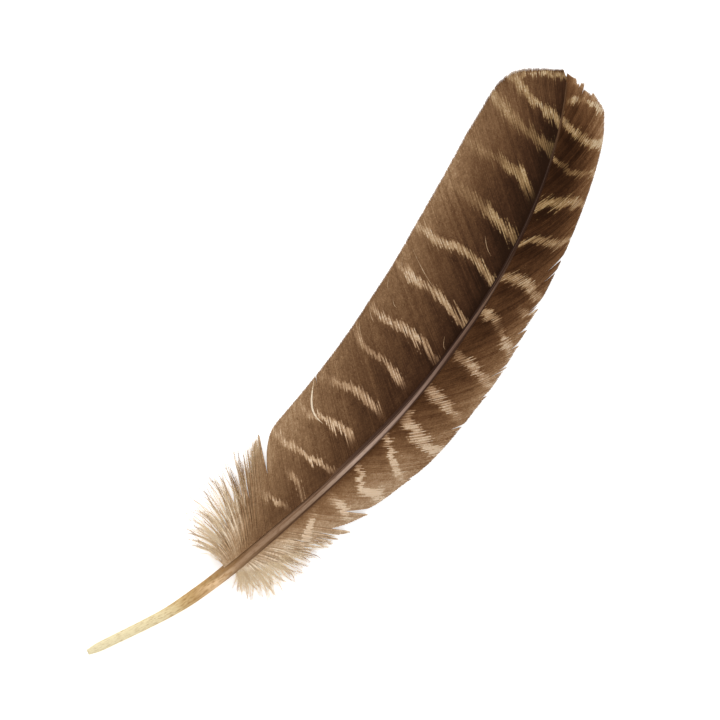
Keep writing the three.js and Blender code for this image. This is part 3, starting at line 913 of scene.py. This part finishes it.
def horn_material():
    """Horn: cream and gold on the quill with brown mottling, greyer and then dark on the rib;
    painted highlight on the crown, painted shade beside it.
    """
    material, tree, shader = new_material(
        "horn shaft", {"Roughness": 0.45, "Specular IOR Level": 0.06})
    station = value(tree, "station")
    side = value(tree, "side")
    grain_at = vector(tree, times(tree, station, 0.2), times(tree, side, 3.0))
    grain = noise(tree, grain_at, 5.0, 0.7)
    fibres_at = vector(tree, times(tree, station, 0.4), times(tree, side, 7.5))
    fibres = noise(tree, fibres_at, 3.0, 0.6)
    share = maths(tree, "DIVIDE", station, SHAFT_LENGTH)

    def along(stops):
        return colours(tree, share, [(at / SHAFT_LENGTH, colour) for at, colour in stops])

    # painted highlight and shade: the pale band along the crown and the darker flanks stand for
    # light and shade on the shaft
    flank = blend(tree, between(tree, side, -0.2, 0.2), along(HORN_LEFT), along(HORN_RIGHT))
    colour = blend(tree, value(tree, "lit_band"), flank, along(HORN_RIDGE))
    vaned = between(tree, station, 62, 84)
    # painted shade in the furrow to the left of the crown
    dark = times_plus(tree, between(tree, station, 82, 118), 0.42, 0.06)
    shifted = times_plus(tree, between(tree, station, 158, 184), 0.4, side)
    furrow = times(tree, pulse(tree, shifted, -0.48, 0.11), vaned)
    colour = blend(tree, times(tree, furrow, dark), colour, rgb(*HORN_SHADE))
    # painted shade along the shaft's right side
    right_flank_shade = times(tree, pulse(tree, side, 0.84, 0.09), vaned)
    colour = blend(tree, times(tree, right_flank_shade, 0.5), colour, rgb(*HORN_SHADE))
    # painted highlight on the thin ridge beside the furrow
    ridge_highlight = times(tree, pulse(tree, side, -0.3, 0.1), vaned)
    colour = blend(tree, times(tree, ridge_highlight, 0.35), colour, rgb(150, 124, 104))
    mottled = times(tree, between(tree, station, 76, 58), between(tree, station, 18, 42))
    spots = times(tree, between(tree, grain, -0.02, 0.16), mottled)
    colour = blend(tree, times(tree, spots, 0.7), colour, rgb(156, 114, 62))
    streaks = times(tree, between(tree, fibres, -0.02, 0.18), 0.6)
    colour = blend(tree, streaks, colour, blend(tree, 1.0, colour, rgb(190, 170, 150), "MULTIPLY"))
    tree.links.new(colour, shader.inputs["Base Color"])
    bump = add(tree, "ShaderNodeBump", {"Strength": 0.35, "Distance": 0.0001, "Height": fibres})
    tree.links.new(bump.outputs[0], shader.inputs["Normal"])
    return material


# ---- the shaft ----

SHAFT_SIDES = 40
PORE_DEPTH = 5.0  # the small hole in the quill's tip

# the painted highlight along the shaft's crown: its middle and half its width, as shares of the
# radius
RIDGE_MIDDLE = [(0, 0.1), (50, 0.25), (58, 0.44), (66, 0.28), (80, 0.16), (100, 0.32),
                (128, 0.36), (154, 0.44), (170, 0.2), (190, -0.15), (215, 0.55), (235, 0.9),
                (301, 0.9)]
RIDGE_WIDTH = [(0, 1.2), (50, 0.8), (58, 0.5), (66, 0.33), (80, 0.28), (100, 0.31),
               (127, 0.42), (154, 0.42), (168, 0.36), (190, 0.45), (215, 0.35), (235, 0.3),
               (301, 0.3)]


def shaft_mesh():
    """The quill and rib: a furrow beside the crown on each side, and a groove under the rib."""
    station = np.arange(0, SHAFT_LENGTH + 1, 1.0)
    turn = 2 * np.pi * (np.arange(SHAFT_SIDES) + 0.5) / SHAFT_SIDES
    radius = smooth(SHAFT_RADIUS, station)[:, None]
    rib = ramp(60, 110, station)[:, None]
    degrees = np.degrees(turn)[None, :]

    def dip(centre, spread):
        away = (degrees - centre + 180) % 360 - 180
        return np.exp(-(away / spread) ** 2)

    furrow = rib * (0.14 * dip(38, 12) + 0.20 * dip(128, 14) + 0.22 * dip(270, 14))
    lump = 0.012 * np.sin(station * 0.31)[:, None] * np.cos(2 * turn)[None, :]
    ring = radius * (1 - furrow + lump)
    reach = np.cos(turn) * ring
    up = np.sin(turn) * ring
    up = up * np.where(up > 0, SHAFT_CROWN, SHAFT_KEEL)
    middle = np.maximum(crest(station)[:, None] + VANE_LEVEL, radius * SHAFT_KEEL + 0.02)
    points = place(station[:, None] + 0 * reach, reach, middle + up)
    points[..., 2] = np.maximum(points[..., 2], 0.0)
    side = np.cos(turn)[None, :] + 0 * reach
    # the band of painted highlight along the crown
    off = (side - smooth(RIDGE_MIDDLE, station)[:, None]) / smooth(RIDGE_WIDTH, station)[:, None]
    lit_band = 1 - ramp(0.75, 1.25, np.abs(off))

    # the pore: the first ring turns inwards and back up the quill
    inner = []
    for depth, shrink in ((0.0, 0.75), (0.15, 0.5), (1.0, 0.38), (PORE_DEPTH, 0.3)):
        centre = points[0].mean(0)
        step = place(np.array([depth]), np.array([0.0]), centre[2] + 0.02 * depth)[0]
        inner.append(step + (points[0] - centre) * shrink)
    rings = np.concatenate([np.array(inner[::-1]), points])
    marks = {"station": station[:, None] + 0 * side, "side": side, "lit_band": lit_band}
    marks = {k: np.concatenate([np.repeat(v[:1], len(inner), 0), v]) for k, v in marks.items()}
    rows = len(rings)
    index = np.arange(rows * SHAFT_SIDES).reshape(rows, SHAFT_SIDES)
    after = np.roll(index, -1, 1)
    quads = np.stack([index[:-1], after[:-1], after[1:], index[1:]], -1).reshape(-1, 4)
    faces = quads[:, ::-1].tolist() + [index[0].tolist(), index[-1][::-1].tolist()]
    mesh = mesh_of("shaft", rings * MM, [], faces, marks)
    mesh.shade_smooth()
    return mesh


# ---- build ----

inner_look = vane_material("inner web", PIGMENT)
outer_look = vane_material("outer web", RED_PIGMENT)
down_look = down_material()
horn_look = horn_material()

inner_rules = dict(
    side=-1, steps=36, leave=INNER_EXIT, end=INNER_TIP, margin=INNER_MARGIN, web=INNER_WEB,
    down_reach=INNER_DOWN_REACH, frays=INNER_FRAYS, bars=INNER_BARS, tones=INNER_TONE,
    loosest=(74, 85), climb=0.66)
outer_rules = dict(
    side=1, steps=30, leave=OUTER_EXIT, end=OUTER_TIP, margin=OUTER_MARGIN, web=OUTER_WEB,
    down_reach=OUTER_DOWN_REACH, frays=OUTER_FRAYS, bars=OUTER_BARS, tones=OUTER_TONE,
    loosest=(78, 96), climb=0.2)
inner = barbs(Vane(spacing=[(63.5, 0.2), (70, 0.26), (78, 0.36), (90, 0.5)], seed=21,
                   splits=INNER_SPLITS, **inner_rules))
outer = barbs(Vane(spacing=[(66.5, 0.2), (71, 0.26), (80, 0.4), (92, 0.55)], seed=42,
                   splits=OUTER_SPLITS, **outer_rules))
inner_fill = together(layer(inner_rules, 63, (64, 0.24), 0.5, 86.5, 0.2),
                      layer(inner_rules, 105, (64.2, 0.34), 0.7, 84, -0.15))
outer_fill = together(layer(outer_rules, 84, (67, 0.22), 0.5, 90, 0.2),
                      layer(outer_rules, 126, (67.2, 0.34), 0.7, 84, -0.15))

finish_piece("shaft", shaft_mesh(), horn_look)
webs = web_tree()
grow("inner_vane", together(inner, inner_fill), webs, inner_look)
grow("outer_vane", together(outer, outer_fill), webs, outer_look, tilt=-0.16)
grow("stray_barbs", stray_barbs(), webs, inner_look, thickness=0.6, tilt=0.0)
hairs = down_tree()
grow("inner_down", downy(inner), hairs, down_look, seed=5)
grow("inner_down_fill", downy(inner_fill), hairs, down_look, seed=6)
grow("outer_down", downy(outer), hairs, down_look, seed=9)
grow("outer_down_fill", downy(outer_fill), hairs, down_look, seed=10)

# ---- floor, light and camera ----

PIXEL = 0.39  # millimetres on the floor for each pixel of the view
VIEW_PIXELS = 720  # width of the view
VIEW_ROLL = 39.6  # degrees between the feather's chord and upright in the view
VIEW_CENTRE = (-9.99, 8.54)  # the point of the floor in the middle of the view
CAMERA_HEIGHT = 1.6  # metres, as are the sizes below
FILM_WIDTH = 36
FLOOR_REACH = 1.5
FLOOR_LEVEL = -0.0002
WHITE = (1, 1, 1, 1)


def floor():
    corners = np.array([(-1, -1, 0), (1, -1, 0), (1, 1, 0), (-1, 1, 0)]) * FLOOR_REACH
    mesh = mesh_of("floor", corners, [], [(0, 1, 2, 3)], {})
    material, _, _ = new_material(
        "floor paper", {"Base Color": (0.95, 0.95, 0.95, 1), "Roughness": 0.9,
                        "Specular IOR Level": 0.0, "Emission Color": WHITE,
                        "Emission Strength": 0.4})
    mesh.materials.append(material)
    piece = add_object("floor", mesh)
    piece.location.z = FLOOR_LEVEL


def light(name, place_at, size, power):
    """A square lamp of a size in metres and a power in watts, turned to the feather."""
    lamp = bpy.data.lights.new(name, "AREA")
    lamp.size = size
    lamp.energy = power
    piece = add_object(name, lamp)
    piece.location = place_at
    piece.rotation_euler = (-Vector(place_at)).to_track_quat("-Z", "Y").to_euler()


def camera():
    eye = bpy.data.cameras.new("camera")
    eye.sensor_width = FILM_WIDTH
    eye.lens = FILM_WIDTH * CAMERA_HEIGHT / (VIEW_PIXELS * PIXEL * MM)
    eye.clip_end = 20
    piece = add_object("camera", eye)
    piece.location = (VIEW_CENTRE[0] * MM, VIEW_CENTRE[1] * MM, CAMERA_HEIGHT)
    piece.rotation_euler = (0, 0, math.radians(VIEW_ROLL))
    bpy.context.scene.camera = piece


def world(strength):
    sky = bpy.data.worlds.new("studio")
    sky.use_nodes = True
    glow = sky.node_tree.nodes["Background"].inputs
    glow["Color"].default_value = WHITE
    glow["Strength"].default_value = strength
    bpy.context.scene.world = sky


floor()
world(strength=0.78)
light("key", place_at=(-0.9, 0.5, 1.3), size=0.9, power=12)
light("fill", place_at=(0.9, -0.4, 1.2), size=1.2, power=4)
camera()
bpy.context.scene.view_settings.view_transform = "Standard"
